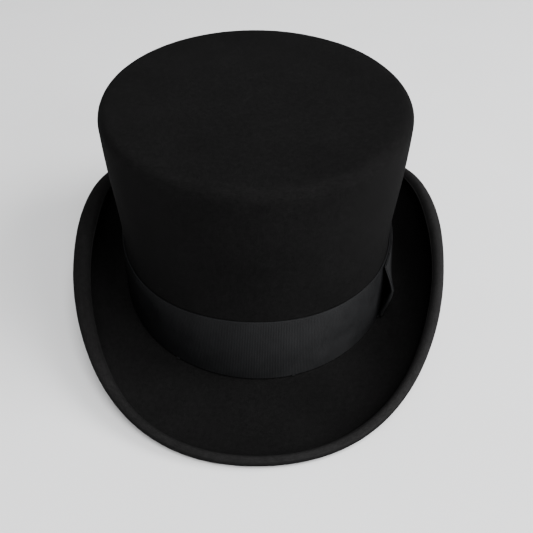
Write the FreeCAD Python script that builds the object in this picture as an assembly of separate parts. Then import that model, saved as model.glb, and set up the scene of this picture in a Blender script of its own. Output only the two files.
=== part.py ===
import FreeCAD, Part
import math
import os

# A wool felt top hat, in millimetres. +Z is up, the front faces -Y and the bow is on +X.
# The origin is the middle of the brim's outline, on the surface that the brim rests on.

# Felt body
FELT = 2.5                      # thickness of the felt
CROWN_HALF_WIDTH = 88.2         # outside, at the brim
CROWN_HALF_LENGTH = 106.0
TIP_HALF_WIDTH = 90.2           # outside, at the top
TIP_HALF_LENGTH = 101.5
CROWN_HEIGHT = 129.4            # top of the hat above the surface it stands on
CROWN_CENTRE_X = -1.7           # the brim sits slightly off centre on the crown
CROWN_CENTRE_Y = 1.0
WAIST = 3.8                     # how far the wall draws in above the ribbon
WAIST_HEIGHT = 58.0
WAIST_REACH = 30.0              # how far above and below that the drawing in fades
WAIST_SHIFT = -0.6              # and how far it sits to one side
WAIST_SQUARENESS = 0.03         # how much fuller than an ellipse it is at the diagonals
TIP_CORNER = 3.5                # inside radius of the edge between wall and tip
BRIM_HALF_WIDTH = 116.0
BRIM_HALF_LENGTH = 161.7
BRIM_TURN = -2.65               # degrees that the brim's outline is turned on the crown
BRIM_SQUARENESS = 0.045         # the same for the brim's outline
SIDE_SHARPNESS = 3.27           # how closely the rise keeps to the two sides

# Control points of the felt's lower face from the crown outwards: (share of the reach, height)
BREAK_DROPS = [6.4, 3.2, 1.0]   # heights above the brim of the points in its bend with the crown
BREAK_RADIUS = 3.4
FRONT_REACH = [(0.00, 0.0), (0.10, 0.0), (0.30, 0.0), (0.52, 0.0), (0.72, 0.0), (0.86, 0.6), (0.955, 2.6)]
SIDE_REACH = [(0.00, 0.5), (0.16, 0.7), (0.34, 2.4), (0.52, 7.6), (0.68, 16.0), (0.82, 25.5), (0.94, 35.5)]
FRONT_RIM_HEIGHT = 5.7          # height of the brim's outermost line
SIDE_RIM_HEIGHT = 46.9

# The lip is the brim's edge, rolled up and back over the brim
# Its widths every 30 degrees, from +X towards the back
LIP_WIDTHS = [7.8, 6.2, 6.4, 6.1, 7.0, 6.4, 11.2, 10.2, 5.4, 5.0, 6.2, 7.6]
LIP_ROOT = [(0.3, -4.2), (0.35, 0.4)]   # its first control points: (outwards, up) from the outermost line
LIP_RISE_FRONT = 0.9            # how far it rises above that line
LIP_RISE_SIDE = 2.9
LIP_TOP_OUT = -0.6
LIP_CREST = (0.5, 1.2)          # middle of the roll: (share of the width, further rise)
LIP_FALL = (0.9, -0.6)          # and where it has begun to turn down
LIP_END = -1.4                  # height of the cut edge against the outermost line

# Ribbon and bow
RIBBON = 0.8
RIBBON_BOTTOM = 4.2
RIBBON_TOP = 45.8
CLEAR = 0.32                    # gap between soft layers
BLOCK_CLEAR = 0.3               # the same for the bows, the tab and their straight-sided blocks
BOW_CENTRE = -1.0               # degrees round the crown, from +X towards the back
BOW_FRONT = -33.0
BOW_REAR = 29.0
BOW_BOTTOM = 5.7
BOW_TOP = 44.5
KNOT_HALF = 4.0                 # half of the knot's width, in degrees
KNOT_OVERHANG = 0.8             # how far the knot passes the wings above and below
KNOT_THICK = 1.6
KNOT_SIDES = 0.8                # its thickness at the sides, as a share of that
KNOT_GAP = 0.1                  # degrees between knot and wing
WING_SHARES = [0.0, 0.2, 0.4, 0.6, 0.8, 1.0]
WING_ROOT = 0.9                 # thickness of a folded wing beside the knot
WING_END = 2.4                  # and at its outer fold
FRONT_WING_STAND = 4.6          # how far the outer fold stands off the ribbon
REAR_WING_STAND = 0.6
WING_CURVE = 4                  # how late along the wing it leaves the ribbon
FOLD_BULGE = 1.0                # degrees that the outer fold bulges past the wing's end

# Sweatband, its reed and tape
SWEAT_OFFSET = 1.1              # from the felt's inner face to the leather
LEATHER = 1.0
SWEAT_BOTTOM = 4.4
SWEAT_TOP = 40.0
BACK_SLIT = 0.6                 # gap between the leather's two ends
REED_RADIUS = 0.9
REED_GAP = 0.2
TAPE = 0.3
TAPE_TOP = 13.0
TAPE_TURN_UP = 3.0              # height of the tape's inner edge above the leather's bottom
TAPE_BEND = 45.0                # degrees between the corners of its fold under the reed
TAPE_BENDS = 5
CORD_CORNERS = 10               # corners of a reed's or piping's round section

# Lining
LINING = 0.5
LINING_GAP = 0.3
LINING_BOTTOM = 27.0
LINING_TOP = 118.4
LINING_TIP_Z = 122.8
LINING_TIP_INSET = 4.7          # from the crown's outer face to the tip piece's edge
PIPING_RADIUS = 0.8

# Threads and small trim
THREAD = 0.3                    # radius of a stitch
BAND_TACKS = 8
BAND_TACK_START = 0.25          # place of the first tack in its share of the round
BAND_TACK_RISE = 0.8            # above the ribbon's lower edge
BAND_TACK_HALF = 0.6            # degrees
BOW_TACK_LENGTH = 0.7
BOW_TACK_GAP = 0.2              # from the wing's edge to the stitch
BOW_TACK_INSET = 7.0            # degrees back from the wing's outer fold
SWEAT_STITCHES = 90
SWEAT_STITCH_Z = 8.6
STITCH_SHARES = (0.2, 0.8)      # where a stitch starts and ends in its share of the row
BACK = 90.0                     # degrees: the middle of the back
BACK_STITCHES = 6
BACK_STITCH_LOW = 11.0
BACK_STITCH_PITCH = 2.6
BACK_STITCH_RISE = 1.6
BACK_STITCH_HALF = 1.0          # degrees
TAB_WIDTH = 9.0                 # degrees
TAB_CENTRE = 116.0
TAB_BOTTOM = 26.0
TAB_TOP = 39.0
TAB = 0.3
SMALL_BOW_HALF = 7.5            # degrees
SMALL_BOW_Z = 33.5
SMALL_BOW_HEIGHT = 10.0
SMALL_KNOT_HALF = 1.4           # degrees
SMALL_KNOT_INSET = 1.5          # how much shorter the knot is, above and below
SMALL_LOOP = [1.2, 2.4, 1.6]    # thickness of a loop from the knot outwards
SMALL_KNOT = [2.6, 3.0, 2.6]

RINGS = 48                      # control points round each ring
POLE_GAIN = 3.0 / (2.0 + math.cos(2.0 * math.pi / RINGS))   # a cubic's poles lie this far outside it
EDGE_STEPS = 4                  # control points down the tip's rounded edge
EDGE_LEAD = 4.0                 # and one more, this far in on the flat
WALL_STEPS = 12
WALL_TOP_GAP = 3.0              # from the rounded edge to the wall's first control point
WALL_FOOT = 11.5
STRIP_STEPS = 8                 # straight steps up a ribbon, leather or lining
BLOCK_STEPS = 2                 # and up a bow's wing or knot

SWEAT_OUTER = -FELT - SWEAT_OFFSET
SWEAT_INNER = SWEAT_OUTER - LEATHER


def vec(x, y, z):
    return FreeCAD.Vector(x, y, z)


def mix(a, b, share):
    return a + (b - a) * share


def waist_share(z):
    """1 where the wall is drawn in most, fading to 0 above and below."""
    return math.exp(-((z - WAIST_HEIGHT) / WAIST_REACH) ** 2)


def crown_point(turn, z, offset):
    """Point at the angle turn (radians), offset outwards from the crown's outer face."""
    waist = waist_share(z)
    width = mix(CROWN_HALF_WIDTH, TIP_HALF_WIDTH, z / CROWN_HEIGHT) - WAIST * waist + offset
    length = mix(CROWN_HALF_LENGTH, TIP_HALF_LENGTH, z / CROWN_HEIGHT) - WAIST * waist + offset
    fuller = 1.0 + WAIST_SQUARENESS * waist * math.sin(2.0 * turn) ** 2
    x = CROWN_CENTRE_X + WAIST_SHIFT * waist + width * math.cos(turn) * fuller
    y = CROWN_CENTRE_Y + length * math.sin(turn) * fuller
    return vec(x, y, z)


def ring_angles():
    return [2.0 * math.pi * i / RINGS for i in range(RINGS)]


def closed_curve(points):
    """Periodic cubic with these points as its poles: smooth all round."""
    curve = Part.BSplineCurve()
    knots = list(range(len(points) + 1))
    curve.buildFromPolesMultsKnots(points, [1] * len(knots), knots, True, 3)
    return curve.toShape()


def crown_ring(z, offset):
    """Closed curve round the crown, that much outside its outer face."""
    middle = vec(CROWN_CENTRE_X, CROWN_CENTRE_Y, z)
    points = [crown_point(turn, z, offset) for turn in ring_angles()]
    return closed_curve([middle + (p - middle) * POLE_GAIN for p in points])


def solid_from(faces):
    shell = Part.makeShell(faces)
    shell.sewShape()
    solid = Part.makeSolid(Part.Shell(shell.Faces))
    if solid.Volume < 0:
        solid.reverse()
    return solid


def band_solid(section):
    """Closed band round the crown. section lists its corners as (z, offset) in order."""
    rings = [crown_ring(z, offset) for z, offset in section]
    faces = []
    for first, second in zip(rings, rings[1:] + rings[:1]):
        faces.append(Part.makeRuledSurface(first, second))
    return solid_from(faces)


def strip_section(bottom, top, inside, thickness):
    heights = [mix(bottom, top, i / STRIP_STEPS) for i in range(STRIP_STEPS + 1)]
    rising = [(z, inside + thickness) for z in heights]
    falling = [(z, inside) for z in heights[::-1]]
    return rising + falling


# ---------------------------------------------------------------- felt body

def tip_and_wall_rows(turn):
    """Control points of the felt's inner face, from the tip's flat down to the brim."""
    inner_top = CROWN_HEIGHT - FELT
    rows = [crown_point(turn, inner_top, -FELT - TIP_CORNER - EDGE_LEAD)]
    for step in range(EDGE_STEPS + 1):
        bend = math.radians(90.0 * step / EDGE_STEPS)
        inset = TIP_CORNER * (1.0 - math.sin(bend))
        z = inner_top - TIP_CORNER * (1.0 - math.cos(bend))
        rows.append(crown_point(turn, z, -FELT - inset))
    wall_top = inner_top - TIP_CORNER - WALL_TOP_GAP
    for step in range(WALL_STEPS + 1):
        rows.append(crown_point(turn, mix(wall_top, WALL_FOOT, step / WALL_STEPS), -FELT))
    return rows


def brim_outline(turn):
    """Outermost line of the brim, at height 0."""
    fuller = 1.0 + BRIM_SQUARENESS * math.sin(2.0 * turn) ** 2
    x = BRIM_HALF_WIDTH * math.cos(turn) * fuller
    y = BRIM_HALF_LENGTH * math.sin(turn) * fuller
    skew = math.radians(BRIM_TURN)
    return vec(x * math.cos(skew) - y * math.sin(skew), x * math.sin(skew) + y * math.cos(skew), 0.0)


def lip_width(turn):
    """Width of the lip, eased from one listed width to the next."""
    place = turn * len(LIP_WIDTHS) / (2.0 * math.pi)
    first = int(place + 1e-9) % len(LIP_WIDTHS)
    share = (1.0 - math.cos(math.pi * (place % 1.0))) / 2.0
    return mix(LIP_WIDTHS[first], LIP_WIDTHS[(first + 1) % len(LIP_WIDTHS)], share)


def lip_offsets(turn, side):
    """The lip's control points: (outwards, up) from the outermost line."""
    width = lip_width(turn)
    rise = mix(LIP_RISE_FRONT, LIP_RISE_SIDE, side)
    crest = (-LIP_CREST[0] * width, rise + LIP_CREST[1])
    fall = (-LIP_FALL[0] * width, rise + LIP_FALL[1])
    return LIP_ROOT + [(LIP_TOP_OUT, rise), crest, fall, (-width, LIP_END)]


def brim_rows(turn):
    """Control points of the felt's lower face, from the crown to the cut edge of the lip."""
    side = abs(math.cos(turn)) ** SIDE_SHARPNESS
    inner = crown_point(turn, 0.0, -FELT)
    outer = brim_outline(turn)
    reach = outer - inner
    direction = reach / reach.Length
    rows = []
    foot = mix(FRONT_REACH[0][1], SIDE_REACH[0][1], side)
    for drop in BREAK_DROPS:
        rows.append(inner + vec(0, 0, foot + drop))
    rows[-1] += direction * BREAK_DROPS[-1]
    for front, flank in zip(FRONT_REACH, SIDE_REACH):
        share = mix(front[0], flank[0], side)
        z = mix(front[1], flank[1], side)
        run = mix(BREAK_RADIUS, reach.Length, share)
        rows.append(inner + direction * run + vec(0, 0, z))
    rim = mix(FRONT_RIM_HEIGHT, SIDE_RIM_HEIGHT, side)
    for out, up in lip_offsets(turn, side):
        rows.append(outer + direction * out + vec(0, 0, rim + up))
    return rows


def lower_net():
    """Control net of the felt's inner and lower face: one column per angle."""
    net = []
    for turn in ring_angles():
        column = tip_and_wall_rows(turn) + brim_rows(turn)
        net.append([vec(p.x * POLE_GAIN, p.y * POLE_GAIN, p.z) for p in column])
    return net


def upper_net(net):
    """The same net moved out by the felt's thickness, square to the surface."""
    moved = []
    columns = len(net)
    rows = len(net[0])
    for i in range(columns):
        column = []
        for j in range(rows):
            around = net[(i + 1) % columns][j] - net[i - 1][j]
            along = net[i][min(j + 1, rows - 1)] - net[i][max(j - 1, 0)]
            normal = along.cross(around)
            normal.normalize()
            column.append(net[i][j] + normal * FELT)
        moved.append(column)
    return moved


def net_surface(net):
    """Surface that is periodic round the hat and clamped from tip to lip."""
    columns = len(net)
    rows = len(net[0])
    u_knots = list(range(columns + 1))
    v_knots = list(range(rows - 2))
    v_mults = [4] + [1] * (rows - 4) + [4]
    surface = Part.BSplineSurface()
    surface.buildFromPolesMultsKnots(net, [1] * len(u_knots), v_mults, u_knots, v_knots, True, False, 3, 3)
    return surface


def felt_body():
    lower = lower_net()
    surfaces = [net_surface(lower), net_surface(upper_net(lower))]
    faces = [surface.toShape() for surface in surfaces]
    for surface in surfaces:
        tip_edge = surface.vIso(0).toShape()
        faces.append(Part.Face(Part.Wire(tip_edge)))
    last = surfaces[0].bounds()[3]
    faces.append(Part.makeRuledSurface(*[surface.vIso(last).toShape() for surface in surfaces]))
    return solid_from(faces)


# ---------------------------------------------------------------- ribbon and bow

def on_crown(degrees, z, offset):
    return crown_point(math.radians(degrees), z, offset)


def smooth_edge(points):
    curve = Part.BSplineCurve()
    curve.interpolate(points)
    return curve.toShape()


def upright(section, bottom, top):
    """Block between two heights. section(z) gives its outline's edges at height z."""
    outlines = [section(mix(bottom, top, i / BLOCK_STEPS)) for i in range(BLOCK_STEPS + 1)]
    faces = []
    for low, high in zip(outlines, outlines[1:]):
        faces += [Part.makeRuledSurface(first, second) for first, second in zip(low, high)]
    faces += [Part.Face(Part.Wire(outlines[i])) for i in (0, -1)]
    return solid_from(faces)


def along_crown(start, end, z, offsets):
    """Points at even steps round the crown, one for each offset."""
    last = len(offsets) - 1
    return [on_crown(mix(start, end, i / last), z, offset) for i, offset in enumerate(offsets)]


def bow_wing(root, end, stand):
    """Flattened loop: thin at the knot, its outer fold rounded and standing off the ribbon."""
    base = CLEAR + RIBBON + BLOCK_CLEAR
    inner = [base + stand * share ** WING_CURVE for share in WING_SHARES]
    outer = [low + mix(WING_ROOT, WING_END, share) for low, share in zip(inner, WING_SHARES)]
    beyond = end + math.copysign(FOLD_BULGE, end - root)

    def section(z):
        inside = along_crown(root, end, z, inner)
        outside = along_crown(root, end, z, outer)
        fold = on_crown(beyond, z, (inner[-1] + outer[-1]) / 2.0)
        return [
            smooth_edge(inside),
            Part.Arc(inside[-1], fold, outside[-1]).toShape(),
            smooth_edge(outside[::-1]),
            Part.makeLine(outside[0], inside[0]),
        ]

    return upright(section, BOW_BOTTOM, BOW_TOP)


def crown_block(start, end, bottom, top, offsets_in, offsets_out):
    """Block that follows the crown between two angles and two heights."""
    def section(z):
        inside = along_crown(start, end, z, offsets_in)
        outside = along_crown(start, end, z, offsets_out)
        return [
            smooth_edge(inside),
            Part.makeLine(inside[-1], outside[-1]),
            smooth_edge(outside[::-1]),
            Part.makeLine(outside[0], inside[0]),
        ]

    return upright(section, bottom, top)


def bow_knot():
    base = CLEAR + RIBBON + BLOCK_CLEAR
    bulge = [base + KNOT_THICK * share for share in (KNOT_SIDES, 1.0, KNOT_SIDES)]
    start = BOW_CENTRE - KNOT_HALF
    end = BOW_CENTRE + KNOT_HALF
    return crown_block(start, end, BOW_BOTTOM - KNOT_OVERHANG, BOW_TOP + KNOT_OVERHANG, [base] * 3, bulge)


def stitch(start, end):
    """One visible length of thread."""
    run = end - start
    return Part.makeCylinder(THREAD, run.Length, start, run)


def band_tacks():
    """Short level stitches that hold the ribbon to the felt, near its lower edge."""
    z = RIBBON_BOTTOM + BAND_TACK_RISE
    offset = RIBBON + 2.0 * CLEAR + THREAD
    step = 360.0 / BAND_TACKS
    tacks = []
    for i in range(BAND_TACKS):
        middle = (i + BAND_TACK_START) * step
        start = on_crown(middle - BAND_TACK_HALF, z, offset)
        tacks.append(stitch(start, on_crown(middle + BAND_TACK_HALF, z, offset)))
    return Part.makeCompound(tacks)


def bow_tacks():
    """Upright stitches beside the bow's edges, two to each wing."""
    offset = RIBBON + 2.0 * CLEAR + THREAD
    tacks = []
    below = BOW_BOTTOM - BOW_TACK_GAP - BOW_TACK_LENGTH
    for place in (BOW_FRONT + BOW_TACK_INSET, BOW_REAR - BOW_TACK_INSET):
        for low in (below, BOW_TOP + BOW_TACK_GAP):
            tacks.append(stitch(on_crown(place, low, offset), on_crown(place, low + BOW_TACK_LENGTH, offset)))
    return Part.makeCompound(tacks)


# ---------------------------------------------------------------- sweatband

def sweatband():
    """Leather band, open by a narrow slit where its ends meet at the back."""
    leather = band_solid(strip_section(SWEAT_BOTTOM, SWEAT_TOP, SWEAT_INNER, LEATHER))
    deep = CROWN_HALF_LENGTH / 4.0
    corner = vec(CROWN_CENTRE_X - BACK_SLIT / 2.0, CROWN_CENTRE_Y + CROWN_HALF_LENGTH - deep, 0)
    return leather.cut(Part.makeBox(BACK_SLIT, deep, 2.0 * SWEAT_TOP, corner))


def reed_centre():
    return SWEAT_BOTTOM - 2.0 * REED_GAP - REED_RADIUS, SWEAT_INNER + LEATHER / 2.0


def cord_section(z, offset, radius):
    section = []
    for i in range(CORD_CORNERS):
        turn = 2.0 * math.pi * i / CORD_CORNERS
        section.append((z + radius * math.sin(turn), offset + radius * math.cos(turn)))
    return section


def sweatband_reed():
    z, offset = reed_centre()
    return band_solid(cord_section(z, offset, REED_RADIUS))


def reed_tape():
    """Cloth tape behind the leather that folds under the reed and up inside it."""
    z, offset = reed_centre()
    near = REED_RADIUS + REED_GAP
    far = near + TAPE
    bends = [math.radians(TAPE_BEND * i) for i in range(TAPE_BENDS)]
    turn_up = SWEAT_BOTTOM + TAPE_TURN_UP
    outer = [(z - far * math.sin(bend), offset + far * math.cos(bend)) for bend in bends]
    inner = [(z - near * math.sin(bend), offset + near * math.cos(bend)) for bend in bends[::-1]]
    section = [(TAPE_TOP, offset + near), (TAPE_TOP, offset + far)] + outer
    section += [(turn_up, offset - far), (turn_up, offset - near)] + inner
    return band_solid(section)


def sweatband_stitches():
    """Row of stitches round the leather, above the tape's inner edge."""
    offset = SWEAT_INNER - CLEAR - THREAD
    pitch = 360.0 / SWEAT_STITCHES
    row = []
    for i in range(SWEAT_STITCHES):
        start, end = [on_crown(BACK + (i + share) * pitch, SWEAT_STITCH_Z, offset) for share in STITCH_SHARES]
        row.append(stitch(start, end))
    return Part.makeCompound(row)


def back_seam_stitches():
    """Slanted stitches across the slit at the back."""
    offset = SWEAT_INNER - CLEAR - THREAD
    row = []
    for i in range(BACK_STITCHES):
        z = BACK_STITCH_LOW + BACK_STITCH_PITCH * i
        start = on_crown(BACK - BACK_STITCH_HALF, z, offset)
        row.append(stitch(start, on_crown(BACK + BACK_STITCH_HALF, z + BACK_STITCH_RISE, offset)))
    return Part.makeCompound(row)


def inner_block(start, end, bottom, top, thickness):
    """Block on the leather's inner face; thickness lists its depth at even steps."""
    face = SWEAT_INNER - BLOCK_CLEAR
    return crown_block(start, end, bottom, top, [face] * len(thickness), [face - deep for deep in thickness])


def sweatband_bow():
    """Small ribbon bow over the back seam: two loops and a knot."""
    low = SMALL_BOW_Z - SMALL_BOW_HEIGHT / 2.0
    high = SMALL_BOW_Z + SMALL_BOW_HEIGHT / 2.0
    root = SMALL_KNOT_HALF + KNOT_GAP
    left = inner_block(BACK + root, BACK + SMALL_BOW_HALF, low, high, SMALL_LOOP)
    right = inner_block(BACK - SMALL_BOW_HALF, BACK - root, low, high, SMALL_LOOP[::-1])
    bottom = low + SMALL_KNOT_INSET
    top = high - SMALL_KNOT_INSET
    middle = inner_block(BACK - SMALL_KNOT_HALF, BACK + SMALL_KNOT_HALF, bottom, top, SMALL_KNOT)
    return Part.makeCompound([left, middle, right])


def size_tab():
    start = TAB_CENTRE - TAB_WIDTH / 2.0
    end = TAB_CENTRE + TAB_WIDTH / 2.0
    return inner_block(start, end, TAB_BOTTOM, TAB_TOP, [TAB] * 3)


# ---------------------------------------------------------------- lining

def lining_side():
    return band_solid(strip_section(LINING_BOTTOM, LINING_TOP, -FELT - LINING_GAP - LINING, LINING))


def lining_tip():
    rings = [crown_ring(z, -LINING_TIP_INSET) for z in (LINING_TIP_Z, LINING_TIP_Z + LINING)]
    faces = [Part.Face(Part.Wire(ring)) for ring in rings]
    faces.append(Part.makeRuledSurface(rings[0], rings[1]))
    return solid_from(faces)


def lining_piping():
    z = (LINING_TOP + LINING_TIP_Z) / 2.0
    return band_solid(cord_section(z, -LINING_TIP_INSET, PIPING_RADIUS))


def build():
    knot_front = BOW_CENTRE - KNOT_HALF - KNOT_GAP
    knot_rear = BOW_CENTRE + KNOT_HALF + KNOT_GAP
    return {
        "felt_body": felt_body(),
        "band_ribbon": band_solid(strip_section(RIBBON_BOTTOM, RIBBON_TOP, CLEAR, RIBBON)),
        "band_tacks": band_tacks(),
        "bow_front_wing": bow_wing(knot_front, BOW_FRONT, FRONT_WING_STAND),
        "bow_rear_wing": bow_wing(knot_rear, BOW_REAR, REAR_WING_STAND),
        "bow_knot": bow_knot(),
        "bow_tacks": bow_tacks(),
        "sweatband": sweatband(),
        "sweatband_reed": sweatband_reed(),
        "reed_tape": reed_tape(),
        "sweatband_stitches": sweatband_stitches(),
        "back_seam_stitches": back_seam_stitches(),
        "sweatband_bow": sweatband_bow(),
        "size_tab": size_tab(),
        "lining_side": lining_side(),
        "lining_tip": lining_tip(),
        "lining_piping": lining_piping(),
    }


def main():
    os.makedirs("parts", exist_ok=True)
    for name, shape in build().items():
        shape.exportStep("parts/" + name + ".step")


main()
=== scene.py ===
import math
import bpy
import numpy as np
from mathutils import Matrix, Vector, noise


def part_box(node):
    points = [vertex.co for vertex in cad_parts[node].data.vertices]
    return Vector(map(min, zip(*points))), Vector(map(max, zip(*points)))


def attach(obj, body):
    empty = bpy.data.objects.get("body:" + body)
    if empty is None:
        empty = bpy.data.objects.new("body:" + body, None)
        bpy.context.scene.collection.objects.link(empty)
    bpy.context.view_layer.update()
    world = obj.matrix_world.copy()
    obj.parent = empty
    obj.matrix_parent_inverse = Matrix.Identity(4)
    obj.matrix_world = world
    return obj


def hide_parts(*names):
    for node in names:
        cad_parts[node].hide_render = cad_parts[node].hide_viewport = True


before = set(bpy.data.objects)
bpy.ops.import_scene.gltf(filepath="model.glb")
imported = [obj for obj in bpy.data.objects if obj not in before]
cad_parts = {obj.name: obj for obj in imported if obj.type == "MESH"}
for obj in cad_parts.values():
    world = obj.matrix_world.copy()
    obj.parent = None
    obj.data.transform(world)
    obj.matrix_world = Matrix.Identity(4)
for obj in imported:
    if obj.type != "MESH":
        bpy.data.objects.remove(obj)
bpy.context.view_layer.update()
MM = 0.001


def span(node):
    """Lowest and highest height of a CAD node, in millimetres."""
    low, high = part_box(node)
    return low[2] / MM, high[2] / MM


# ---------------------------------------------------------------- the hat's shape, in millimetres

# Felt body: the driving dimensions of the CAD part
FELT = 2.5                      # thickness of the felt
CROWN_HALF_WIDTH = 88.2         # outside, at the brim
CROWN_HALF_LENGTH = 106.0
TIP_HALF_WIDTH = 90.2           # outside, at the top
TIP_HALF_LENGTH = 101.5
CROWN_HEIGHT = span("felt_body")[1]
CROWN_CENTRE = (-1.7, 1.0)
WAIST = 3.8                     # how far the wall draws in above the ribbon
WAIST_HEIGHT = 58.0
WAIST_REACH = 30.0
WAIST_SHIFT = -0.6
WAIST_SQUARENESS = 0.03
TIP_CORNER = 3.5                # inside radius of the edge between wall and tip
BRIM_HALF_WIDTH = 116.0
BRIM_HALF_LENGTH = 161.7
BRIM_TURN = math.radians(-2.65)
BRIM_SQUARENESS = 0.045
SIDE_SHARPNESS = 3.27           # how closely the rise keeps to the two sides

# Control points of the felt's lower face from the crown outwards: (share of the reach, height)
BREAK_DROPS = [6.4, 3.2, 1.0]
BREAK_RADIUS = 3.4
FRONT_REACH = [(0.00, 0.0), (0.10, 0.0), (0.30, 0.0), (0.52, 0.0), (0.72, 0.0), (0.86, 0.6), (0.955, 2.6)]
SIDE_REACH = [(0.00, 0.5), (0.16, 0.7), (0.34, 2.4), (0.52, 7.6), (0.68, 16.0), (0.82, 25.5), (0.94, 35.5)]
FRONT_RIM_HEIGHT = 5.7
SIDE_RIM_HEIGHT = 46.9

# The lip: its widths every 30 degrees from +X towards the back, and its control points
LIP_WIDTHS = [7.8, 6.2, 6.4, 6.1, 7.0, 6.4, 11.2, 10.2, 5.4, 5.0, 6.2, 7.6]
LIP_ROOT = [(0.3, -4.2), (0.35, 0.4)]   # (outwards, up) from the outermost line
LIP_RISE_FRONT = 0.9
LIP_RISE_SIDE = 2.9
LIP_TOP_OUT = -0.6
LIP_CREST = (0.5, 1.2)          # (share of the width, further rise)
LIP_FALL = (0.9, -0.6)
LIP_END = -1.4

COLUMNS = 48                    # control points round the hat
POLE_GAIN = 3.0 / (2.0 + math.cos(2.0 * math.pi / COLUMNS))
EDGE_STEPS = 4                  # control points down the tip's rounded edge
EDGE_LEAD = 4.0                 # and one more, this far in on the flat
WALL_STEPS = 12
WALL_TOP_GAP = 3.0
WALL_FOOT = 11.5

# Mesh rows over the felt's tip edge, wall, bend, brim and lip: (first place, last place, rows), where
# places are in spans of the control net
FELT_ROWS = [(0.0, 6.0, 26), (6.4, 18.0, 34), (18.25, 21.5, 14), (21.8, 28.6, 40), (28.72, 32.0, 26)]
LIP_START = 28.3                # where the brim turns into its lip, in the same spans
LIP_BLEND = 1.2                 # and how long it takes


def mix(a, b, share):
    return a + (b - a) * share


def crown_points(turn, z, offset):
    """Points at the angles turn (radians) and heights z, offset outwards from the felt's outer face."""
    turn, z, offset = np.broadcast_arrays(turn, z, offset)
    waist = np.exp(-((z - WAIST_HEIGHT) / WAIST_REACH) ** 2)
    width = mix(CROWN_HALF_WIDTH, TIP_HALF_WIDTH, z / CROWN_HEIGHT) - WAIST * waist + offset
    length = mix(CROWN_HALF_LENGTH, TIP_HALF_LENGTH, z / CROWN_HEIGHT) - WAIST * waist + offset
    fuller = 1.0 + WAIST_SQUARENESS * waist * np.sin(2.0 * turn) ** 2
    x = CROWN_CENTRE[0] + WAIST_SHIFT * waist + width * np.cos(turn) * fuller
    y = CROWN_CENTRE[1] + length * np.sin(turn) * fuller
    return np.stack([x, y, z], axis=-1)


def lip_widths(turn):
    """Width of the lip, eased from one listed width to the next."""
    place = turn * len(LIP_WIDTHS) / (2.0 * math.pi)
    first = np.floor(place + 1e-9).astype(int) % len(LIP_WIDTHS)
    share = (1.0 - np.cos(math.pi * (place % 1.0))) / 2.0
    widths = np.array(LIP_WIDTHS)
    return mix(widths[first], widths[(first + 1) % len(LIP_WIDTHS)], share)


def turns(columns):
    """Angles of that many even columns round the hat."""
    return np.arange(columns) * 2.0 * math.pi / columns


def tip_and_wall_rows(turn):
    """Control points of the felt's inner face, from the tip's flat down to the brim."""
    top = CROWN_HEIGHT - FELT
    rows = [crown_points(turn, top, -FELT - TIP_CORNER - EDGE_LEAD)]
    for step in range(EDGE_STEPS + 1):
        bend = math.radians(90.0 * step / EDGE_STEPS)
        z = top - TIP_CORNER * (1.0 - math.cos(bend))
        rows.append(crown_points(turn, z, -FELT - TIP_CORNER * (1.0 - math.sin(bend))))
    for step in range(WALL_STEPS + 1):
        z = mix(top - TIP_CORNER - WALL_TOP_GAP, WALL_FOOT, step / WALL_STEPS)
        rows.append(crown_points(turn, z, -FELT))
    return rows


def brim_outline(turn):
    """Outermost line of the brim, at height 0."""
    fuller = 1.0 + BRIM_SQUARENESS * np.sin(2.0 * turn) ** 2
    x = BRIM_HALF_WIDTH * np.cos(turn) * fuller
    y = BRIM_HALF_LENGTH * np.sin(turn) * fuller
    cos_skew, sin_skew = math.cos(BRIM_TURN), math.sin(BRIM_TURN)
    return np.stack([x * cos_skew - y * sin_skew, x * sin_skew + y * cos_skew, np.zeros_like(x)], axis=-1)


def lip_offsets(turn, side):
    """The lip's control points: (outwards, up) from the outermost line."""
    width = lip_widths(turn)
    rise = mix(LIP_RISE_FRONT, LIP_RISE_SIDE, side)
    crest = (-LIP_CREST[0] * width, rise + LIP_CREST[1])
    fall = (-LIP_FALL[0] * width, rise + LIP_FALL[1])
    return LIP_ROOT + [(LIP_TOP_OUT, rise), crest, fall, (-width, LIP_END)]


def brim_rows(turn):
    """Control points of the felt's lower face, from the crown to the cut edge of the lip."""
    side = np.abs(np.cos(turn)) ** SIDE_SHARPNESS
    inner = crown_points(turn, 0.0, -FELT)
    outer = brim_outline(turn)
    reach = outer - inner
    length = np.linalg.norm(reach, axis=1)
    direction = reach / length[:, None]
    up = np.array([0.0, 0.0, 1.0])
    foot = mix(FRONT_REACH[0][1], SIDE_REACH[0][1], side)
    rows = [inner + (foot + drop)[:, None] * up for drop in BREAK_DROPS]
    rows[-1] = rows[-1] + direction * BREAK_DROPS[-1]
    for front, flank in zip(FRONT_REACH, SIDE_REACH):
        run = mix(BREAK_RADIUS, length, mix(front[0], flank[0], side))
        rows.append(inner + direction * run[:, None] + mix(front[1], flank[1], side)[:, None] * up)
    rim = mix(FRONT_RIM_HEIGHT, SIDE_RIM_HEIGHT, side)
    for out, lift in lip_offsets(turn, side):
        shift = np.broadcast_to(out, turn.shape)[:, None]
        rows.append(outer + direction * shift + (rim + lift)[:, None] * up)
    return rows


def lower_net():
    """Control net of the felt's inner and lower face: [column, row, xyz]."""
    turn = turns(COLUMNS)
    net = np.stack(tip_and_wall_rows(turn) + brim_rows(turn), axis=1)
    net[..., :2] *= POLE_GAIN
    return net


def upper_net(net):
    """The same net moved out by the felt's thickness, square to the surface."""
    around = np.roll(net, -1, axis=0) - np.roll(net, 1, axis=0)
    last = net.shape[1] - 1
    after = np.minimum(np.arange(last + 1) + 1, last)
    before = np.maximum(np.arange(last + 1) - 1, 0)
    normal = np.cross(net[:, after] - net[:, before], around)
    return net + normal / np.linalg.norm(normal, axis=2, keepdims=True) * FELT


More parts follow.
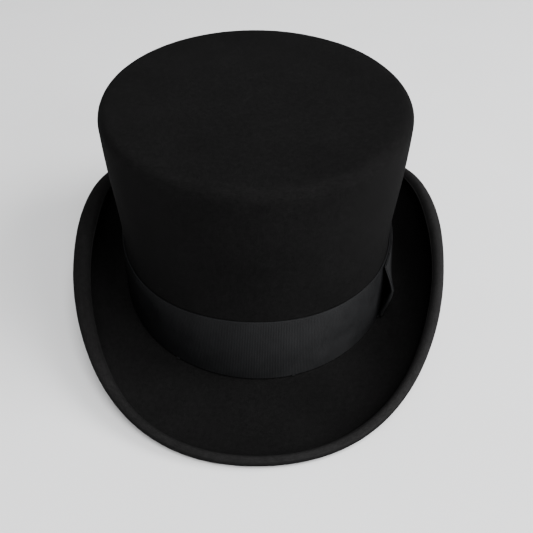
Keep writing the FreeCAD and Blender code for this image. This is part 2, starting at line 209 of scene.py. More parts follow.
def cubic_weights(places, knots, count):
    """Weights of each control point at each place along a cubic B-spline."""
    weights = np.zeros((len(places), len(knots) - 1))
    span_index = np.clip(np.searchsorted(knots, places, side="right") - 1, 3, count - 1)
    weights[np.arange(len(places)), span_index] = 1.0
    for degree in (1, 2, 3):
        fresh = np.zeros_like(weights)
        for i in range(len(knots) - 1 - degree):
            below = knots[i + degree] - knots[i]
            above = knots[i + degree + 1] - knots[i + 1]
            if below > 0:
                fresh[:, i] += (places - knots[i]) / below * weights[:, i]
            if above > 0:
                fresh[:, i] += (knots[i + degree + 1] - places) / above * weights[:, i + 1]
        weights = fresh
    return weights[:, :count]


def net_surface(net, columns, places):
    """Points of the net's cubic surface: columns of them round the hat, at the places from tip to lip."""
    rows = net.shape[1]
    knots = np.concatenate([[0.0] * 3, np.arange(rows - 2.0), [rows - 3.0] * 3])
    along = np.einsum("pr,crx->cpx", cubic_weights(np.array(places), knots, rows), net)
    share = np.arange(columns) * len(net) / columns
    first = np.floor(share).astype(int)
    t = (share - first)[:, None, None]
    parts = [along[(first + k) % len(net)] for k in (-1, 0, 1, 2)]
    blend = [(1 - t) ** 3, 3 * t ** 3 - 6 * t ** 2 + 4, -3 * t ** 3 + 3 * t ** 2 + 3 * t + 1, t ** 3]
    return sum(p * b for p, b in zip(parts, blend)) / 6.0


# ---------------------------------------------------------------- meshes

def grid_faces(columns, rows, start, wrap_columns, wrap_rows=False, flip=False):
    """Quads of a grid of points numbered column by column."""
    i = np.arange(columns if wrap_columns else columns - 1)
    j = np.arange(rows if wrap_rows else rows - 1)
    i, j = np.meshgrid(i, j, indexing="ij")
    nexti = (i + 1) % columns
    nextj = (j + 1) % rows
    quads = np.stack([i * rows + j, nexti * rows + j, nexti * rows + nextj, i * rows + nextj], axis=-1)
    quads = quads.reshape(-1, 4) + start
    return quads[:, ::-1] if flip else quads


def make_object(name, points, faces, material, node):
    """Mesh piece from points in millimetres. It stands for that CAD node."""
    mesh = bpy.data.meshes.new(name)
    mesh.from_pydata((np.asarray(points) * MM).tolist(), [], [list(map(int, face)) for face in faces])
    mesh.polygons.foreach_set("use_smooth", [True] * len(mesh.polygons))
    mesh.materials.append(material)
    mesh.update()
    piece = bpy.data.objects.new(name, mesh)
    bpy.context.scene.collection.objects.link(piece)
    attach(piece, "root")
    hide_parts(node)
    return piece


def normals_of(grid, wrap):
    """Unit normals of a grid of points [column, row, xyz]."""
    if wrap:
        across = np.roll(grid, -1, axis=0) - np.roll(grid, 1, axis=0)
    else:
        across = np.gradient(grid, axis=0)
    along = np.gradient(grid, axis=1)
    normal = np.cross(across, along)
    return normal / (np.linalg.norm(normal, axis=2, keepdims=True) + 1e-12)


def slab(grid, front, back, wrap):
    """Sheet with thickness: points and faces. front and back are its half thicknesses, numbers or grids."""
    columns, rows = grid.shape[:2]
    normal = normals_of(grid, wrap)
    outer = grid + normal * np.broadcast_to(front, (columns, rows))[..., None]
    inner = grid - normal * np.broadcast_to(back, (columns, rows))[..., None]
    points = np.concatenate([outer.reshape(-1, 3), inner.reshape(-1, 3)])
    count = columns * rows
    faces = [grid_faces(columns, rows, 0, wrap), grid_faces(columns, rows, count, wrap, flip=True)]
    i = np.arange(columns if wrap else columns - 1)
    after = (i + 1) % columns
    low = np.stack([i * rows, i * rows + count, after * rows + count, after * rows], axis=-1)
    top = rows - 1
    high = np.stack([i * rows, after * rows, after * rows + count, i * rows + count], axis=-1) + top
    faces += [low, high]
    if not wrap:
        j = np.arange(rows - 1)
        end = (columns - 1) * rows
        faces.append(np.stack([j, j + 1, j + 1 + count, j + count], axis=-1))
        faces.append(np.stack([end + j, end + j + count, end + j + 1 + count, end + j + 1], axis=-1))
    return points, np.concatenate(faces)


def soft_noise(points, size, seed):
    """Smooth noise from -1 to 1 for points in millimetres, with bumps about that size."""
    flat = np.asarray(points, float).reshape(-1, 3) / size + seed
    values = np.array([noise.noise(Vector(p)) for p in flat])
    return values.reshape(np.asarray(points).shape[:-1])


def selvedge(rows, thin=0.35):
    """Share of the full thickness on each row: thinner at the two edges."""
    share = np.ones(rows)
    share[0] = share[-1] = thin
    share[1] = share[-2] = mix(thin, 1.0, 0.8)
    return share


EDGE_ROW = 0.35                 # distance between the rows beside an edge


def edge_rows(low, high, inner_rows):
    """Heights from low to high, with close rows at both edges."""
    middle = np.linspace(low + 2.0 * EDGE_ROW, high - 2.0 * EDGE_ROW, inner_rows)
    return np.concatenate([[low, low + EDGE_ROW], middle, [high - EDGE_ROW, high]])


# ---------------------------------------------------------------- materials

class Recipe:
    """Short-hand for building one material's nodes."""

    def __init__(self, name, **settings):
        self.material = bpy.data.materials.new(name)
        self.material.use_nodes = True
        self.tree = self.material.node_tree
        self.shader = self.tree.nodes["Principled BSDF"]
        self.place = self.add("ShaderNodeTexCoord").outputs["Object"]
        for socket, value in settings.items():
            self.shader.inputs[socket.replace("_", " ")].default_value = value

    def add(self, kind, **inputs):
        node = self.tree.nodes.new(kind)
        for socket, value in inputs.items():
            self.feed(node.inputs[socket.replace("_", " ")], value)
        return node

    def feed(self, socket, value):
        if isinstance(value, bpy.types.NodeSocket):
            self.tree.links.new(value, socket)
        else:
            socket.default_value = value

    def noise(self, size, detail=3.0, roughness=0.6):
        """Noise with features about that size in millimetres."""
        return self.add("ShaderNodeTexNoise", Vector=self.place, Scale=1.0 / (size * MM), Detail=detail,
                        Roughness=roughness).outputs["Fac"]

    def ramp(self, value, low, high, low_out, high_out):
        """Value from low to high brought to low_out to high_out."""
        node = self.add("ShaderNodeMapRange", Value=value)
        for index, number in zip((1, 2, 3, 4), (low, high, low_out, high_out)):
            node.inputs[index].default_value = number
        return node.outputs["Result"]

    def times(self, first, second):
        node = self.tree.nodes.new("ShaderNodeMath")
        node.operation = "MULTIPLY"
        self.feed(node.inputs[0], first)
        self.feed(node.inputs[1], second)
        return node.outputs[0]

    def shade(self, colour, *factors):
        """Base colour times the given factors."""
        factor = factors[0]
        for more in factors[1:]:
            factor = self.times(factor, more)
        node = self.tree.nodes.new("ShaderNodeVectorMath")
        node.operation = "SCALE"
        node.inputs[0].default_value = colour[:3]
        self.feed(node.inputs["Scale"], factor)
        self.tree.links.new(node.outputs[0], self.shader.inputs["Base Color"])

    def bump(self, height, distance):
        """Fine relief, that many millimetres deep."""
        node = self.add("ShaderNodeBump", Strength=1.0, Distance=distance * MM, Height=height)
        self.tree.links.new(node.outputs["Normal"], self.shader.inputs["Normal"])

    def vary(self, socket, value, low, high):
        self.tree.links.new(self.ramp(value, 0.3, 0.7, low, high), self.shader.inputs[socket])

    def wear(self, low, high):
        """Lighter on sharp outer edges."""
        point = self.add("ShaderNodeNewGeometry").outputs["Pointiness"]
        return self.ramp(point, 0.50, 0.56, low, high)


LIP_WEAR_AND_PAINTED_LIGHT_GAIN = 3.0              # how much paler than the rest the lip's felt is painted at most: partly worn nap, partly painted highlight, most on the bow's side where the light falls
PORE_SPACING = 0.8              # of the leather, in millimetres
SATIN_SCALE = 2600.0            # threads, twists and weave to a metre, roughly
TWIST_SCALE = 420.0
WEAVE_SCALE = 520.0


def felt_material():
    """Matted wool: matt, with pale fibre ends; the lip is painted paler, partly as worn nap and partly as
    painted highlight, most on the bow's (+X) side as painted light.
    """
    felt = Recipe("wool_felt", Roughness=0.95, Sheen_Weight=0.0020, Sheen_Roughness=0.5,
                  Specular_IOR_Level=0.022)
    felt.shader.inputs["Sheen Tint"].default_value = (0.92, 0.95, 1.0, 1.0)
    attribute = felt.add("ShaderNodeAttribute")
    attribute.attribute_name = "lip_wear_and_painted_light"
    lip_wear_and_painted_light = attribute.outputs["Fac"]
    fibre = felt.noise(0.45, 4.0, 0.75)
    clump = felt.noise(2.6, 3.0)
    blotch = felt.noise(38.0, 2.0)
    felt.shade(
        (0.0040, 0.0039, 0.0039),
        felt.ramp(fibre, 0.3, 0.7, 0.35, 1.65),
        felt.ramp(clump, 0.3, 0.7, 0.82, 1.18),
        felt.ramp(blotch, 0.3, 0.7, 0.90, 1.10),
        # paler lip: worn nap and painted highlight, with painted light on the bow's side
        felt.ramp(lip_wear_and_painted_light, 0.0, 1.0, 1.0, LIP_WEAR_AND_PAINTED_LIGHT_GAIN),
        felt.wear(1.0, 1.5),
    )
    felt.vary("Roughness", clump, 0.88, 1.0)
    felt.bump(fibre, 0.14)
    return felt.material


def ribbon_material(name, colour, roughness, specular, **settings):
    """Woven ribbon thread: the ribs are in the mesh, the warp lines and wear are here."""
    ribbon = Recipe(name, Roughness=roughness, Specular_IOR_Level=specular, **settings)
    thread = ribbon.noise(0.30, 3.0, 0.7)
    patch = ribbon.noise(14.0, 3.0)
    ribbon.shade(colour, ribbon.ramp(thread, 0.3, 0.7, 0.6, 1.4), ribbon.ramp(patch, 0.3, 0.7, 0.88, 1.12),
                 ribbon.wear(1.0, 1.05))
    ribbon.vary("Roughness", patch, roughness - 0.05, roughness + 0.06)
    ribbon.bump(thread, 0.05)
    return ribbon.material


def satin_material(name, colour, roughness):
    """Glossy lining cloth with upright threads."""
    satin = Recipe(name, Roughness=roughness, Specular_IOR_Level=0.55, Sheen_Weight=0.2, Anisotropic=0.5)
    stretched = satin.add("ShaderNodeMapping", Vector=satin.place, Scale=(1.0, 1.0, 0.06)).outputs[0]
    thread = satin.add("ShaderNodeTexNoise", Vector=stretched, Scale=SATIN_SCALE, Detail=2.0).outputs["Fac"]
    patch = satin.noise(22.0, 3.0)
    satin.shade(colour, satin.ramp(thread, 0.3, 0.7, 0.85, 1.15), satin.ramp(patch, 0.3, 0.7, 0.92, 1.08))
    satin.vary("Roughness", patch, roughness - 0.04, roughness + 0.08)
    satin.bump(thread, 0.03)
    return satin.material


def leather_material():
    """Thin leather with fine pores, creased in use."""
    leather = Recipe("sweatband_leather", Roughness=0.48, Specular_IOR_Level=0.45, Coat_Weight=0.08)
    pore_scale = 1.0 / (PORE_SPACING * MM)
    pores = leather.add("ShaderNodeTexVoronoi", Vector=leather.place, Scale=pore_scale).outputs["Distance"]
    crease = leather.noise(5.0, 5.0, 0.65)
    leather.shade((0.030, 0.020, 0.014), leather.ramp(crease, 0.3, 0.7, 0.7, 1.35),
                  leather.ramp(pores, 0.0, 0.6, 0.8, 1.1), leather.wear(1.0, 1.7))
    leather.vary("Roughness", crease, 0.40, 0.60)
    leather.bump(leather.times(pores, crease), 0.22)
    return leather.material


def thread_material(name, colour):
    """Matt twisted sewing thread."""
    thread = Recipe(name, Roughness=0.85, Specular_IOR_Level=0.08, Sheen_Weight=0.01)
    wave = thread.add("ShaderNodeTexWave", Vector=thread.place, Scale=TWIST_SCALE, Distortion=1.5, Detail=1.0)
    ply = wave.outputs["Fac"]
    thread.shade(colour, thread.ramp(ply, 0.0, 1.0, 0.6, 1.3),
                 thread.ramp(thread.noise(2.0), 0.3, 0.7, 0.85, 1.15))
    thread.bump(ply, 0.1)
    return thread.material


def tape_material():
    """Woven cotton."""
    tape = Recipe("cotton_tape", Roughness=0.85, Specular_IOR_Level=0.2, Sheen_Weight=0.2)
    wave = tape.add("ShaderNodeTexWave", Vector=tape.place, Scale=WEAVE_SCALE, Distortion=0.6)
    weave = wave.outputs["Fac"]
    tape.shade((0.020, 0.020, 0.022), tape.ramp(weave, 0.0, 1.0, 0.6, 1.35),
               tape.ramp(tape.noise(6.0), 0.3, 0.7, 0.85, 1.2))
    tape.bump(weave, 0.1)
    return tape.material


def reed_material():
    """Pale flexible plastic."""
    reed = Recipe("reed_plastic", Roughness=0.4, Specular_IOR_Level=0.5)
    reed.shade((0.55, 0.52, 0.44), reed.ramp(reed.noise(1.2), 0.3, 0.7, 0.85, 1.1))
    reed.vary("Roughness", reed.noise(4.0), 0.3, 0.5)
    return reed.material


FELT_LOOK = felt_material()
RIBBON_LOOK = ribbon_material("grosgrain", (0.0056, 0.0057, 0.0061), 0.50, 0.115,
                              Anisotropic=0.8, Anisotropic_Rotation=0.25)
SMALL_RIBBON_LOOK = ribbon_material("small_ribbon", (0.016, 0.016, 0.018), 0.35, 0.6)
THREAD_LOOK = thread_material("black_thread", (0.006, 0.006, 0.0065))
LEATHER_LOOK = leather_material()
LINING_LOOK = satin_material("lining_satin", (0.035, 0.035, 0.040), 0.30)
PIPING_LOOK = satin_material("piping_satin", (0.045, 0.045, 0.050), 0.28)
TAPE_LOOK = tape_material()
TAB_LOOK = ribbon_material("woven_tab", (0.55, 0.54, 0.50), 0.55, 0.3)
REED_LOOK = reed_material()


# ---------------------------------------------------------------- felt body

FELT_COLUMNS = 360
TIP_RINGS = 26                  # mesh rings on the tip's flat
FELT_SWELLS = [(0.22, 34.0, 3.1), (0.05, 7.0, 9.7), (0.03, 2.2, 1.3)]   # (depth, size, seed)
INNER_SWELL = 0.1               # the most that its inner face may stand out
REST_HEIGHT = 1.0               # below this it stays flat, as the hat stands on it
LIP_WEAR_AND_HIGHLIGHT_MEAN = 0.58             # how pale the lip is painted on average, as worn nap and painted highlight, and how much more on the bow's side, as painted light from that side
PAINTED_SIDE_LIGHT_SWING = 0.42


def felt_grid(net, places):
    """Points of one face of the felt, from the middle of the tip to the lip's cut edge."""
    grid = net_surface(net, FELT_COLUMNS, places)
    rim = grid[:, :1]
    centre = rim.mean(axis=0, keepdims=True)
    shares = np.linspace(0.04, 0.97, TIP_RINGS)[None, :, None]
    return np.concatenate([centre + (rim - centre) * shares, grid], axis=1)


def felt_swell(grid, limit):
    """How far the uneven felt stands out at each point."""
    swell = sum(depth * soft_noise(grid, size, seed) for depth, size, seed in FELT_SWELLS)
    return np.minimum(swell, limit) * np.where(grid[..., 2] < REST_HEIGHT, 0.0, 1.0)


def mark_lip_wear_and_painted_light(body, places):
    """Attribute that is 0 on the crown and brim and up to 1 on the lip, for its worn nap and painted
    highlight; higher on the bow's side as painted light.
    """
    row_places = np.concatenate([np.zeros(TIP_RINGS), places])
    on_lip = np.clip((row_places - LIP_START) / LIP_BLEND, 0.0, 1.0)
    # higher towards +X, the bow's side: painted light from the windows on that side
    around = LIP_WEAR_AND_HIGHLIGHT_MEAN + PAINTED_SIDE_LIGHT_SWING * np.cos(turns(FELT_COLUMNS))
    lip_wear_and_painted_light = (around[:, None] * on_lip[None, :]).ravel()
    layer = body.data.attributes.new("lip_wear_and_painted_light", "FLOAT", "POINT")
    layer.data.foreach_set("value", np.tile(lip_wear_and_painted_light, 2).astype(np.float32))


def felt_body():
    """Crown and brim in one piece of felt, with a softly uneven surface."""
    places = np.concatenate([np.linspace(*rows) for rows in FELT_ROWS])
    lower = lower_net()
    grids = []
    for net, limit in ((lower, INNER_SWELL), (upper_net(lower), np.inf)):
        grid = felt_grid(net, places)
        grids.append(grid - normals_of(grid, True) * felt_swell(grid, limit)[..., None])
    inner, outer = grids
    columns, rows = inner.shape[:2]
    count = columns * rows
    i = np.arange(columns)
    after = (i + 1) % columns
    cut_edge = np.stack([i * rows, after * rows, after * rows + count, i * rows + count], axis=-1) + rows - 1
    quads = [grid_faces(columns, rows, 0, True, flip=True), grid_faces(columns, rows, count, True), cut_edge]
    faces = [list(face) for face in np.concatenate(quads)]
    faces.append([k * rows for k in range(columns)])
    faces.append([k * rows + count for k in reversed(range(columns))])
    points = np.concatenate([outer.reshape(-1, 3), inner.reshape(-1, 3)])
    body = make_object("felt_body_look", points, faces, FELT_LOOK, "felt_body")
    mark_lip_wear_and_painted_light(body, places)
    return body


# ---------------------------------------------------------------- ribbon and bow

RIB_PITCH = 1.0                 # distance between the ribbon's ribs
RIB_DEPTH = 0.06
RIB_COLUMNS = 4                 # mesh columns to a rib
RIBBON = 0.8                    # thickness of the ribbon with its ribs
RIBBON_GAP = 0.33               # from the felt to the ribbon's back
RIBBON_TRIM = 0.2               # how much its edges stay inside the CAD ribbon's, so that they can drift
SHARP_EDGE = 50.0               # degrees between faces at its cut edges
BOW_RIBBON = 0.55               # thickness of the bow's ribbon
BOW_BACK = 1.45                 # from the felt to the bow's inner layer
LOOP_COLUMNS = 340
LOOP_LEG = 0.46                 # share of a loop's length in each of its two layers
LOOP_ROOT_GAP = 0.6             # between the middles of its layers at the knot
FOLD_BULGE = 0.75 / 1.7         # degrees that its fold bulges past the end, for each millimetre it is open
FRONT_WING = (-5.0, -32.6)      # degrees round the crown, from the knot to the fold
REAR_WING = (3.2, 28.6)
KNOT_CENTRE = -1.0              # degrees
KNOT_HALF = 3.9
KNOT_NIP = 0.55                 # how much narrower it is half way up
KNOT_ROOT = 1.5                 # offset of its two ends, where they turn behind the bow
KNOT_SIDE = 2.35                # offset of its sides, and how much further its middle stands
KNOT_CROWN = 0.65
KNOT_PLEAT = 0.16


def ribs(count):
    """Extra thickness of each column, one cosine per rib."""
    return RIB_DEPTH * np.cos(np.arange(count) * 2.0 * math.pi / RIB_COLUMNS)


def band_ribbon():
    """Grosgrain band: upright ribs all round, its edges not quite level."""
    low, high = span("band_ribbon")
    round_length = 2.0 * math.pi * math.sqrt((CROWN_HALF_WIDTH ** 2 + CROWN_HALF_LENGTH ** 2) / 2.0)
    columns = RIB_COLUMNS * int(round_length / RIB_PITCH)
    turn = turns(columns)[:, None]
    heights = edge_rows(low + RIBBON_TRIM, high - RIBBON_TRIM, 9)[None, :]
    share = (heights - low) / (high - low)
    drift = 0.16 * np.sin(3.0 * turn + 0.7) + 0.10 * np.sin(7.0 * turn + 2.0)
    z = heights + drift * np.where(share > 0.5, 1.0, 0.6)
    slack = 0.10 * np.maximum(0.0, np.sin(5.0 * turn + 1.0)) * share ** 2
    grid = crown_points(turn, z, RIBBON_GAP + RIBBON / 2.0 + slack)
    full = RIBBON / 2.0 * selvedge(grid.shape[1], 0.8)[None, :]
    front = full + ribs(columns)[:, None] * np.minimum(1.0, full / full.max())
    points, faces = slab(grid, front - 0.1, full, True)
    band = make_object("band_ribbon_look", points, faces, RIBBON_LOOK, "band_ribbon")
    band.data.set_sharp_from_angle(angle=math.radians(SHARP_EDGE))
    return band


def loop_sheet(path, low, high, thickness):
    """Ribbon that follows path, a function of (share, height share) giving (degrees, offset)."""
    rows = edge_rows(low, high, 11)
    shares = np.linspace(0.0, 1.0, LOOP_COLUMNS)
    grid = np.zeros((len(shares), len(rows), 3))
    for j, z in enumerate(rows):
        degrees, offset = path(shares, (z - low) / (high - low))
        grid[:, j] = crown_points(np.radians(degrees), z, offset)
    full = thickness / 2.0 * selvedge(len(rows))[None, :]
    front = full + 0.6 * ribs(len(shares))[:, None] * (full / full.max())
    return slab(grid, front, full, False)


def folded_path(root, end, late, stand, gap):
    """Path of a flattened loop: out along the ribbon, round the fold and back to the knot.

    root and end are in degrees. stand(rise) is how far the fold stands off the ribbon and gap(rise) how far
    it is open. The higher late is, the nearer to the fold the loop leaves the ribbon.
    """
    def path(share, rise):
        open_by = gap(rise)
        out = np.clip(share / LOOP_LEG, 0.0, 1.0)
        back = np.clip((share - (1.0 - LOOP_LEG)) / LOOP_LEG, 0.0, 1.0)
        bend = np.clip((share - LOOP_LEG) / (1.0 - 2.0 * LOOP_LEG), 0.0, 1.0) * math.pi
        along = np.where(share < 0.5, out, 1.0 - back)
        parted = mix(LOOP_ROOT_GAP, open_by, along ** 2)
        side = np.where(share > 1.0 - LOOP_LEG, parted, -np.cos(bend) * open_by)
        side = np.where(share < LOOP_LEG, -parted, side)
        offset = BOW_BACK + stand(rise) * along ** late + (parted + side) / 2.0
        bulge = math.copysign(FOLD_BULGE * open_by, end - root) * np.sin(bend)
        return mix(root, end, along) + bulge, offset
    return path


def front_stand(rise):
    """The front fold is held down at its upper corner, stands open below that and comes back in."""
    above = np.clip((0.96 - rise) / 0.34, 0.0, 1.0) ** 0.8
    below = np.clip((rise - 0.08) / 0.50, 0.0, 1.0) ** 0.8
    return 0.5 + 5.2 * above * below


def front_gap(rise):
    """It is nearly closed at the upper edge and open below."""
    return 0.7 + 1.5 * np.clip((0.92 - rise) / 0.5, 0.0, 1.0)


def rear_stand(rise):
    """The rear fold lies nearly flat."""
    return 0.3 + 0.4 * np.sin(math.pi * rise)


def rear_gap(rise):
    """It is open most at half height."""
    return 0.7 + 0.8 * np.sin(math.pi * rise)


def bow_wing(node, ends, late, stand, gap):
    """One flattened loop of the bow."""
    low, high = span(node)
    points, faces = loop_sheet(folded_path(*ends, late, stand, gap), low, high, BOW_RIBBON)
    return make_object(node + "_look", points, faces, RIBBON_LOOK, node)


def bow_knot():
    """Ribbon drawn round the bow's middle, in lengthwise pleats with level ribs."""
    low, high = span("bow_knot")
    rise = np.linspace(0.0, 1.0, 168)[None, :]
    across = np.linspace(-1.0, 1.0, 60)[:, None]
    drawn_in = np.sin(math.pi * rise)
    degrees = KNOT_CENTRE + across * (KNOT_HALF - KNOT_NIP * drawn_in)
    z = low + (high - low) * (0.5 - 0.5 * np.cos(math.pi * rise))
    pleats = KNOT_PLEAT * np.cos(across * 3.0 * math.pi)
    full = KNOT_SIDE + KNOT_CROWN * (1.0 - across ** 4) + pleats
    grid = crown_points(np.radians(degrees), z, KNOT_ROOT + (full - KNOT_ROOT) * drawn_in ** 0.4)
    rib = 0.05 * np.cos(np.arange(rise.size) * 2.0 * math.pi / RIB_COLUMNS)[None, :]
    points, faces = slab(grid, 0.25 + rib, 0.25, False)
    return make_object("bow_knot_look", points, faces, RIBBON_LOOK, "bow_knot")


# ---------------------------------------------------------------- sweatband and lining

SWEAT_INNER = -4.6              # offset of the leather's inner face from the felt's outer face
LEATHER = 1.0
BACK = 90.0                     # degrees: the middle of the back
SLIT_HALF = 0.0030              # half of the gap between the leather's ends, in radians
STITCH_ROW = 8.6                # height of the row of stitches that dimples the leather
LEATHER_BOTTOM = 4.4
REED_RADIUS = 0.9
REED_GAP = 0.2
TAPE_HALF = 0.14
TAPE_REACH = REED_RADIUS + REED_GAP + 0.15      # from the reed's middle to the tape's middle
TAPE_TOP = 13.0
TAPE_TURN_UP = 3.0
SATIN_HALF = 0.15               # half of the satin's thickness
LINING_GAP = 0.55               # from the felt to the middle of the ungathered satin
PIPING_OFFSET = -4.7
LINING_TIP_OFFSET = -4.9
CORD_SIDES = 16
TAB_EDGES = (111.5, 120.5)      # degrees
TAB_HALF = 0.15
SMALL_LOOP_ENDS = (97.2, 82.8)  # degrees
SMALL_RIBBON = 0.3              # thickness


def sweatband():
    """Leather with rounded edges, open by a slit where its ends meet at the back."""
    low, high = span("sweatband")
    back = math.radians(BACK)
    turn = np.linspace(back + SLIT_HALF, back + 2.0 * math.pi - SLIT_HALF, 720)[:, None]
    heights = edge_rows(low, high, 26)[None, :]
    share = (heights - low) / (high - low)
    z = heights + 0.35 * np.sin(4.0 * turn + 0.5) * share
    lean = -0.35 * share ** 3 * (1.0 + np.sin(9.0 * turn) * 0.5)
    dimple = 0.10 * np.exp(-((heights - STITCH_ROW) / 0.8) ** 2)
    grid = crown_points(turn, z, SWEAT_INNER + LEATHER / 2.0 + lean + dimple)
    grain = 0.05 * soft_noise(grid, 3.0, 5.0)
    full = LEATHER / 2.0 * selvedge(grid.shape[1], 0.5)[None, :]
    points, faces = slab(grid, full, full + grain, False)
    return make_object("sweatband_look", points, faces, LEATHER_LOOK, "sweatband")


def reed_tape():
    """Woven tape behind the leather, folded under the reed and up inside it."""
    columns = 480
    middle_z = LEATHER_BOTTOM - 2.0 * REED_GAP - REED_RADIUS
    middle = SWEAT_INNER + LEATHER / 2.0
    bends = np.radians(np.linspace(0.0, 180.0, 17))
    down = np.linspace(TAPE_TOP, LEATHER_BOTTOM + REED_GAP, 12)
    up = np.linspace(LEATHER_BOTTOM - REED_GAP, LEATHER_BOTTOM + TAPE_TURN_UP, 6)
    z = np.concatenate([down, middle_z - TAPE_REACH * np.sin(bends), up])
    fold = TAPE_REACH * np.cos(bends)
    offset = middle + np.concatenate([np.full(len(down), TAPE_REACH), fold, np.full(len(up), -TAPE_REACH)])
    turn = turns(columns)[:, None]
    ripple = 0.05 * np.sin(60.0 * turn)
    grid = crown_points(turn, z[None, :] + ripple, offset[None, :])
    weave = 0.03 * np.cos(np.arange(columns) * math.pi / 1.5)[:, None]
    points, faces = slab(grid, TAPE_HALF + weave, TAPE_HALF, True)
    return make_object("reed_tape_look", points, faces, TAPE_LOOK, "reed_tape")


def cord_ring(node, offset, columns, twists, depth):
    """Points and faces of a cord round the crown, with a twisted surface that deep."""
    low, high = span(node)
    around = turns(CORD_SIDES)[None, :]
    turn = turns(columns)[:, None]
    size = (high - low) / 2.0 - depth + depth * np.cos(2.0 * around + twists * turn)
    grid = crown_points(turn, (low + high) / 2.0 + size * np.sin(around), offset + size * np.cos(around))
    return grid.reshape(-1, 3), grid_faces(columns, CORD_SIDES, 0, True, True, flip=True)


def sweatband_reed():
    points, faces = cord_ring("sweatband_reed", SWEAT_INNER + LEATHER / 2.0, 480, 0, 0.02)
    return make_object("sweatband_reed_look", points, faces, REED_LOOK, "sweatband_reed")


def lining_piping():
    points, faces = cord_ring("lining_piping", PIPING_OFFSET, 1440, 300, 0.09)
    return make_object("lining_piping_look", points, faces, PIPING_LOOK, "lining_piping")


def lining_side():
    """Satin wall of the lining, with shallow upright gathers that grow towards the tip."""
    low, high = span("lining_side")
    turn = turns(1200)[:, None]
    heights = edge_rows(low, high, 30)[None, :]
    share = (heights - low) / (high - low)
    fold = 0.5 + 0.5 * np.sin(88.0 * turn + 1.6 * np.sin(5.0 * turn) + 0.8 * share)
    slack = 0.5 + 0.5 * np.sin(11.0 * turn + 2.0 + 1.5 * share)
    gather = 0.15 + 0.95 * fold * (0.25 + 0.75 * share ** 1.5) + 0.7 * slack * np.sin(math.pi * share)
    grid = crown_points(turn, heights, -FELT - LINING_GAP - gather)
    points, faces = slab(grid, SATIN_HALF, SATIN_HALF, True)
    return make_object("lining_side_look", points, faces, LINING_LOOK, "lining_side")


def lining_tip():
    """Oval of satin under the tip, sagging a little and gathered at its edge."""
    low = span("lining_tip")[0]
    turn = turns(720)[:, None]
    shares = np.linspace(0.003, 1.0, 47)[None, :]
    rim = crown_points(turn, low, LINING_TIP_OFFSET)
    middle = np.array([CROWN_CENTRE[0], CROWN_CENTRE[1], low + 0.1])
    grid = middle + (rim - middle) * shares[..., None]
    sag = -1.3 * (1.0 - shares ** 2)
    gather = -0.35 * (1.0 + np.cos(66.0 * turn + np.sin(4.0 * turn))) * shares ** 5
    grid[..., 2] += sag + gather + 0.35 * soft_noise(grid, 30.0, 4.4) * (1.0 - shares ** 4)
    points, faces = slab(grid, SATIN_HALF, SATIN_HALF, True)
    return make_object("lining_tip_look", points, faces, LINING_LOOK, "lining_tip")


def size_tab():
    """Small woven tab on the leather: plain, with ribs and a turned lower end."""
    low, high = span("size_tab")
    degrees = np.linspace(*TAB_EDGES, 60)[:, None]
    heights = edge_rows(low, high, 12)[None, :]
    share = (heights - low) / (high - low)
    curl = -0.5 * (1.0 - share) ** 3
    grid = crown_points(np.radians(degrees), heights, SWEAT_INNER - 0.75 + curl)
    weave = 0.04 * np.cos(np.arange(len(degrees)) * math.pi / 2.0)[:, None]
    points, faces = slab(grid, TAB_HALF + weave, TAB_HALF, False)
    return make_object("size_tab_look", points, faces, TAB_LOOK, "size_tab")


def small_loop_path(end):
    """Path of one loop of the small bow, out to end (degrees) and back."""
    root = BACK + math.copysign(1.2, end - BACK)

    def path(share, rise):
        along = 1.0 - np.abs(2.0 * share - 1.0)
        open_by = 1.5 * np.sin(0.8 * math.pi * along) * (0.7 + 0.3 * np.sin(math.pi * rise))
        side = np.clip((share - 0.5) * 12.0, -1.0, 1.0)
        return mix(root, end, along), SWEAT_INNER - 2.0 + side * open_by / 2.0
    return path


def sweatband_bow():
    """Small flat bow over the back seam: two loops and a knot, in one mesh."""
    low, high = span("sweatband_bow")
    parts = [loop_sheet(small_loop_path(end), low, high, SMALL_RIBBON) for end in SMALL_LOOP_ENDS]
    across = np.linspace(-1.0, 1.0, 24)[:, None]
    rise = np.linspace(0.0, 1.0, 30)[None, :]
    z = mix(low + 1.2, high - 1.2, rise)
    round_over = np.sqrt(np.clip(1.0 - across ** 4, 0.0, 1.0))
    puff = 0.8 + 2.2 * round_over * (np.sin(math.pi * rise) ** 0.35)
    grid = crown_points(np.radians(BACK + 1.3 * across), z, SWEAT_INNER - puff)
    parts.append(slab(grid, SMALL_RIBBON / 2.0, SMALL_RIBBON / 2.0, False))
    starts = np.cumsum([0] + [len(points) for points, _ in parts])
    points = np.concatenate([part_points for part_points, _ in parts])
    faces = np.concatenate([part_faces + start for (_, part_faces), start in zip(parts, starts)])
    return make_object("sweatband_bow_look", points, faces, SMALL_RIBBON_LOOK,
                       "sweatband_bow")


def dress_cad_node(node, material):
    """CAD node shown as it is, with its own material."""
    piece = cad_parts[node]
    piece.data.materials.clear()
    piece.data.materials.append(material)


# ---------------------------------------------------------------- stage

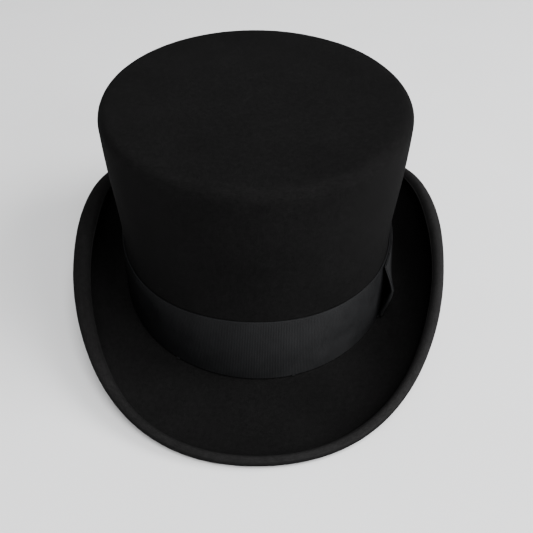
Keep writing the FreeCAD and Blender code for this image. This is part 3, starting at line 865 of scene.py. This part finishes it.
CAMERA_AIM = Vector((3.4, -75.5, 62.5)) * MM
CAMERA_DISTANCE = 0.3581        # metres
CAMERA_AZIMUTH = -2.97          # degrees from the front towards +X
CAMERA_ELEVATION = 41.03
CAMERA_ROLL = 0.456
CAMERA_LENS = 43.66             # millimetres, on a sensor 36 mm wide
CAMERA_SHIFT = (-0.00735, 0.00313)
WINDOW_AIM = Vector((0.0, -0.05, 0.05))
WINDOW_SIZE = 1.3
WINDOW_DISTANCE = 2.7
WINDOWS = [                     # name, azimuth, elevation (degrees) and power (watts)
    ("side_window", 85.0, 42.0, 91.0),
    ("front_window", 15.0, 65.0, 98.0),
    ("low_window", 45.0, 22.0, 64.0),
]
ROOM_COLOUR = (0.985, 0.99, 1.0)
ROOM_STRENGTH = 0.35
FLOOR_HALF = 30.0               # wide enough to fill every view


def outwards(azimuth, elevation):
    """Unit vector away from the hat, azimuth degrees from the front towards +X."""
    turn, rise = math.radians(azimuth), math.radians(elevation)
    return Vector((math.sin(turn) * math.cos(rise), -math.cos(turn) * math.cos(rise), math.sin(rise)))


def place_camera():
    """Camera in front of the hat, looking down on its front and tip."""
    back = outwards(CAMERA_AZIMUTH, CAMERA_ELEVATION)
    roll = math.radians(CAMERA_ROLL)
    right = (-back).cross(Vector((0.0, 0.0, 1.0))).normalized()
    up = right.cross(-back)
    turned_right = math.cos(roll) * right + math.sin(roll) * up
    turned_up = -math.sin(roll) * right + math.cos(roll) * up
    axes = Matrix((turned_right, turned_up, back)).transposed().to_4x4()
    camera = bpy.data.objects.new("camera", bpy.data.cameras.new("camera"))
    camera.matrix_world = Matrix.Translation(CAMERA_AIM + back * CAMERA_DISTANCE) @ axes
    camera.data.sensor_width = 36.0
    camera.data.lens = CAMERA_LENS
    camera.data.shift_x, camera.data.shift_y = CAMERA_SHIFT
    camera.data.clip_start = 0.01
    bpy.context.scene.collection.objects.link(camera)
    bpy.context.scene.camera = camera


def place_light(name, azimuth, elevation, power):
    """Soft square window that faces the hat."""
    light = bpy.data.lights.new(name, "AREA")
    light.size = WINDOW_SIZE
    light.energy = power
    light.color = ROOM_COLOUR
    away = outwards(azimuth, elevation)
    lamp = bpy.data.objects.new(name, light)
    lamp.location = WINDOW_AIM + away * WINDOW_DISTANCE
    lamp.rotation_euler = (-away).to_track_quat("-Z", "Y").to_euler()
    bpy.context.scene.collection.objects.link(lamp)


def place_floor():
    """Pale table top."""
    floor_look = Recipe("pale_floor", Roughness=0.9, Specular_IOR_Level=0.2)
    floor_look.shade((0.72, 0.72, 0.72), floor_look.ramp(floor_look.noise(90.0, 2.0), 0.3, 0.7, 0.99, 1.01))
    mesh = bpy.data.meshes.new("floor")
    corners = [(x * FLOOR_HALF, y * FLOOR_HALF, 0.0) for x, y in ((-1, -1), (1, -1), (1, 1), (-1, 1))]
    mesh.from_pydata(corners, [], [(0, 1, 2, 3)])
    mesh.materials.append(floor_look.material)
    floor = bpy.data.objects.new("floor", mesh)
    bpy.context.scene.collection.objects.link(floor)


def light_world(strength):
    """Even room light from all round."""
    world = bpy.data.worlds.new("room")
    world.use_nodes = True
    sky = world.node_tree.nodes["Background"]
    sky.inputs["Color"].default_value = (*ROOM_COLOUR, 1.0)
    sky.inputs["Strength"].default_value = strength
    bpy.context.scene.world = world


# ---------------------------------------------------------------- the hat

felt_body()
ribbon = band_ribbon()
front_wing = bow_wing("bow_front_wing", FRONT_WING, 5.0, front_stand, front_gap)
rear_wing = bow_wing("bow_rear_wing", REAR_WING, 3.0, rear_stand, rear_gap)
knot = bow_knot()
leather = sweatband()
tape = reed_tape()
sweatband_reed()
small_bow = sweatband_bow()
tab = size_tab()
side_lining = lining_side()
tip_lining = lining_tip()
lining_piping()
for thread_node in ("band_tacks", "bow_tacks", "sweatband_stitches", "back_seam_stitches"):
    dress_cad_node(thread_node, THREAD_LOOK)

place_floor()
place_camera()
for window in WINDOWS:
    place_light(*window)
light_world(ROOM_STRENGTH)
